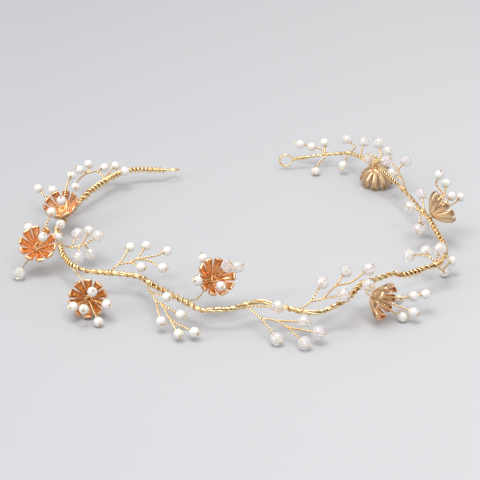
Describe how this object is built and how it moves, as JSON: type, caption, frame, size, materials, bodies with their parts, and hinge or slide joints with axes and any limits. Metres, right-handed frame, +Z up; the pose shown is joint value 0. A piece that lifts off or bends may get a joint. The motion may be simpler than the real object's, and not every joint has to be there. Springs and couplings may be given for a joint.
{
  "type": "bridal hair vine",
  "caption": "Wire hair vine lying as an open ring, with cup flowers, round pearls and cut clear beads on thin sprigs of twisted wire.",
  "frame": {"origin": "on the table, under the middle of the whole piece", "axes": "+Z up, +Y towards the open back between the two ends, +X to the side of the right end"},
  "size_m": [0.188, 0.19, 0.0309],
  "materials": {
    "gold_wire": "polished",
    "rose_gold": "polished",
    "pearl": "pearly",
    "crystal": "cut and polished"
  },
  "bodies": {
    "root": {"vine_stem": "gold_wire", "end_loop_left": "gold_wire", "end_loop_right": "gold_wire", "flower_1": "rose_gold", "flower_2": "rose_gold", "flower_3": "rose_gold", "flower_4": "rose_gold", "flower_5": "rose_gold", "flower_6": "rose_gold", "flower_7": "rose_gold", "flower_1_wire": "gold_wire", "flower_2_wire": "gold_wire", "flower_3_wire": "gold_wire", "flower_4_wire": "gold_wire", "flower_5_wire": "gold_wire", "flower_6_wire": "gold_wire", "flower_7_wire": "gold_wire", "flower_1_pearls": "pearl", "flower_2_pearls": "pearl", "flower_3_pearls": "pearl", "flower_4_pearls": "pearl", "flower_5_pearls": "pearl", "flower_6_pearls": "pearl", "flower_2_cut_beads": "crystal", "flower_4_cut_beads": "crystal", "flower_5_cut_beads": "crystal", "flower_7_cut_beads": "crystal", "sprig_1_wire": "gold_wire", "sprig_2_wire": "gold_wire", "sprig_3_wire": "gold_wire", "sprig_4_wire": "gold_wire", "sprig_5_wire": "gold_wire", "sprig_6_wire": "gold_wire", "sprig_7_wire": "gold_wire", "sprig_8_wire": "gold_wire", "sprig_9_wire": "gold_wire", "sprig_10_wire": "gold_wire", "sprig_11_wire": "gold_wire", "sprig_12_wire": "gold_wire", "sprig_1_pearls": "pearl", "sprig_2_pearls": "pearl", "sprig_4_pearls": "pearl", "sprig_5_pearls": "pearl", "sprig_8_pearls": "pearl", "sprig_11_pearls": "pearl", "sprig_12_pearls": "pearl", "sprig_3_cut_beads": "crystal", "sprig_6_cut_beads": "crystal", "sprig_7_cut_beads": "crystal", "sprig_8_cut_beads": "crystal", "sprig_9_cut_beads": "crystal", "sprig_10_cut_beads": "crystal", "sprig_12_cut_beads": "crystal"}
  },
  "joints": []
}
